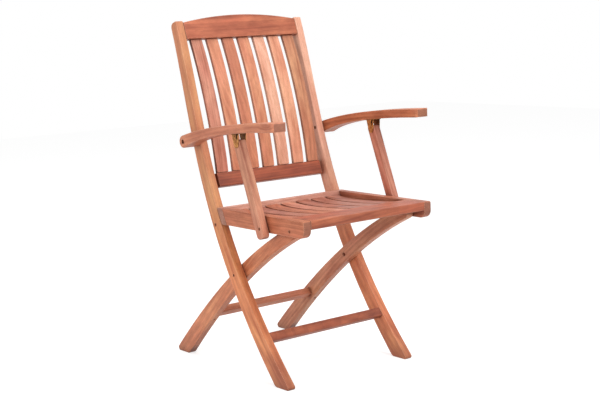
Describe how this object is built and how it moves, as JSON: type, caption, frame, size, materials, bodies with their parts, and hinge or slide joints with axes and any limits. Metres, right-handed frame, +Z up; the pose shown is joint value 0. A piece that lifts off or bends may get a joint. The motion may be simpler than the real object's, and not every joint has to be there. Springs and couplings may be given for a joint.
{
  "type": "folding armchair",
  "caption": "Folding wooden garden armchair with curved crossed legs, slatted seat and back, and armrests held on hinged supports.",
  "frame": {"origin": "on the floor under the middle of the open chair's outer box", "axes": "+Z up, +X to the sitter's left, -Y the way the sitter faces"},
  "size_m": [0.504, 0.6118, 0.9156],
  "materials": {
    "stile_teak": "oiled, satin",
    "leg_teak": "oiled, satin",
    "rail_teak": "oiled, satin",
    "arm_teak": "oiled, satin",
    "slat_teak": "oiled, satin",
    "support_teak": "oiled, satin",
    "brass": "dull",
    "steel": "satin"
  },
  "bodies": {
    "back_frame": {"stile_left": "stile_teak", "stile_right": "stile_teak", "top_rail": "rail_teak", "lower_back_rail": "rail_teak", "back_slat_1": "slat_teak", "back_slat_2": "slat_teak", "back_slat_3": "slat_teak", "back_slat_4": "slat_teak", "back_slat_5": "slat_teak", "back_slat_6": "slat_teak", "back_slat_7": "slat_teak", "front_crossbar": "rail_teak", "seat_rod": "steel", "crossing_pin_left": "steel", "crossing_pin_right": "steel"},
    "rear_legs": {"rear_leg_left": "leg_teak", "rear_leg_right": "leg_teak", "rear_crossbar": "rail_teak", "rear_crossbar_dowel_left": "stile_teak", "rear_crossbar_dowel_right": "stile_teak"},
    "seat": {"seat_side_rail_left": "support_teak", "seat_side_rail_right": "support_teak", "seat_front_rail": "arm_teak", "seat_rear_rail": "rail_teak", "seat_slat_1": "slat_teak", "seat_slat_2": "slat_teak", "seat_slat_3": "slat_teak", "seat_slat_4": "slat_teak", "seat_slat_5": "slat_teak", "seat_slat_6": "slat_teak", "seat_slat_7": "slat_teak", "seat_hook_left": "brass", "seat_hook_right": "brass", "leg_top_pin_left": "steel", "leg_top_pin_right": "steel"},
    "arm_left": {"armrest_left": "arm_teak", "arm_pivot_bolt_left": "brass", "arm_bracket_left": "brass"},
    "support_left": {"arm_support_left": "support_teak", "support_top_pin_left": "brass", "support_bottom_pin_left": "steel"},
    "arm_right": {"armrest_right": "arm_teak", "arm_pivot_bolt_right": "brass", "arm_bracket_right": "brass"},
    "support_right": {"arm_support_right": "support_teak", "support_top_pin_right": "brass", "support_bottom_pin_right": "steel"}
  },
  "joints": [
    {"name": "rear_legs_fold", "type": "hinge", "parent": "back_frame", "child": "rear_legs", "pos_m": [0, -0.00989, 0.259], "axis": [-1, 0, 0], "range_deg": [0, 71]},
    {"name": "seat_fold", "type": "hinge", "parent": "rear_legs", "child": "seat", "pos_m": [0, -0.24919, 0.3985], "axis": [1, 0, 0], "range_deg": [0, 143]},
    {"name": "arm_left_fold", "type": "hinge", "parent": "back_frame", "child": "arm_left", "pos_m": [0.2295, 0.12512, 0.597], "axis": [-1, 0, 0], "range_deg": [0, 108.52]},
    {"name": "support_left_fold", "type": "hinge", "parent": "arm_left", "child": "support_left", "pos_m": [0.22, -0.08236, 0.6], "axis": [1, 0, 0], "range_deg": [0, 95.29]},
    {"name": "arm_right_fold", "type": "hinge", "parent": "back_frame", "child": "arm_right", "pos_m": [-0.2295, 0.12512, 0.597], "axis": [-1, 0, 0], "range_deg": [0, 108.52]},
    {"name": "support_right_fold", "type": "hinge", "parent": "arm_right", "child": "support_right", "pos_m": [-0.22, -0.08236, 0.6], "axis": [1, 0, 0], "range_deg": [0, 95.29]}
  ],
  "couplings": [
    {"joint": "seat_fold", "follows": "rear_legs_fold", "ratio": 2.0141},
    {"joint": "arm_left_fold", "follows": "rear_legs_fold", "ratio": 1.5285},
    {"joint": "support_left_fold", "follows": "rear_legs_fold", "ratio": 1.3421},
    {"joint": "arm_right_fold", "follows": "rear_legs_fold", "ratio": 1.5285},
    {"joint": "support_right_fold", "follows": "rear_legs_fold", "ratio": 1.3421}
  ]
}
